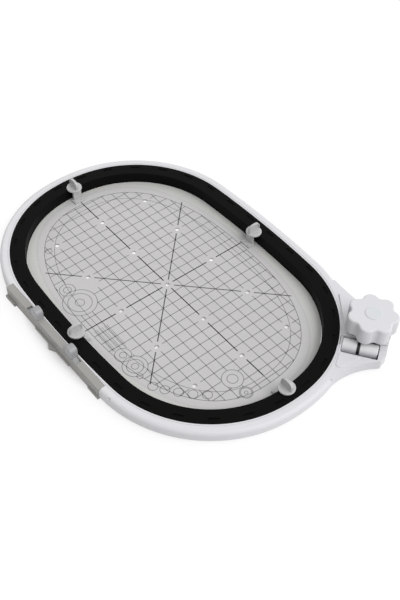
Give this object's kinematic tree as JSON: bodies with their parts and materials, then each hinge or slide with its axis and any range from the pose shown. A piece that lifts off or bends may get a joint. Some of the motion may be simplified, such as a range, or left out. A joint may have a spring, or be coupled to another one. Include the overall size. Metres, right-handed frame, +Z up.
{
  "type": "embroidery hoop",
  "caption": "Oval two-part embroidery hoop with a lobed lock knob at its split, a marked template on clips and a side connector for the machine's arm.",
  "frame": {"origin": "centre of the hoop's oval at the level of the table it lies on", "axes": "+X along the hoop, +Y towards the side with the lock knob, +Z up; the connector lies on the -Y side"},
  "size_m": [0.3487, 0.2407, 0.0353],
  "materials": {
    "white_plastic": "fine satin",
    "gloss_white": "gloss",
    "cap_plastic": "satin",
    "bush_plastic": "satin",
    "black_plastic": "satin",
    "black_rubber": "matte",
    "template_plastic": "translucent satin",
    "clip_plastic": "satin",
    "grey_plastic": "satin",
    "lever_plastic": "satin",
    "steel": "brushed",
    "dark_steel": "blackened"
  },
  "bodies": {
    "outer": {"outer_hoop": "white_plastic", "lock_cover": "white_plastic", "lock_cover_screws": "steel", "lock_bush_lower": "bush_plastic", "lock_bush_upper": "bush_plastic", "knob_thrust_washer": "steel", "connector_body": "grey_plastic", "connector_cover": "grey_plastic", "connector_screws": "steel", "lever_spring_left": "steel", "lever_spring_right": "steel"},
    "knob": {"lock_knob": "white_plastic", "knob_cap": "cap_plastic", "knob_screw": "steel", "lock_spindle": "steel", "lock_cam": "steel", "cam_pin": "steel"},
    "link": {"draw_link": "dark_steel", "link_follower_pin": "steel", "follower_roller": "steel", "clevis_pin": "steel", "pin_sleeve": "gloss_white", "pin_barrel": "gloss_white", "pin_washer": "dark_steel"},
    "inner": {"inner_hoop": "black_plastic", "inner_hoop_grip_band": "black_rubber"},
    "template": {"template_plate": "template_plastic", "template_clip_near": "clip_plastic", "template_clip_far": "clip_plastic", "template_clip_left": "clip_plastic", "template_clip_right": "clip_plastic", "clip_rivets": "clip_plastic"},
    "lever_left": {"release_lever_left": "lever_plastic"},
    "lever_right": {"release_lever_right": "lever_plastic"}
  },
  "joints": [
    {"name": "knob_turn", "type": "hinge", "parent": "outer", "child": "knob", "pos_m": [0.14966, 0.09306, 0], "axis": [0, 0, 1], "range_deg": [0, 150]},
    {"name": "link_draw", "type": "slide", "parent": "outer", "child": "link", "axis": [0.5736, -0.8192, 0], "range_m": [0, 0.003]},
    {"name": "inner_hoop_lift", "type": "slide", "parent": "outer", "child": "inner", "axis": [0, 0, 1], "range_m": [0, 0.03]},
    {"name": "template_lift", "type": "slide", "parent": "inner", "child": "template", "axis": [0, 0, 1], "range_m": [0, 0.03]},
    {"name": "lever_left_press", "type": "slide", "parent": "outer", "child": "lever_left", "axis": [1, 0, 0], "range_m": [0, 0.004], "stiffness_N_per_m": 300, "springref_m": -0.002},
    {"name": "lever_right_press", "type": "slide", "parent": "outer", "child": "lever_right", "axis": [-1, 0, 0], "range_m": [0, 0.004], "stiffness_N_per_m": 300, "springref_m": -0.002}
  ],
  "couplings": [
    {"joint": "link_draw", "follows": "knob_turn", "m_per_rad": 0.0011459}
  ]
}
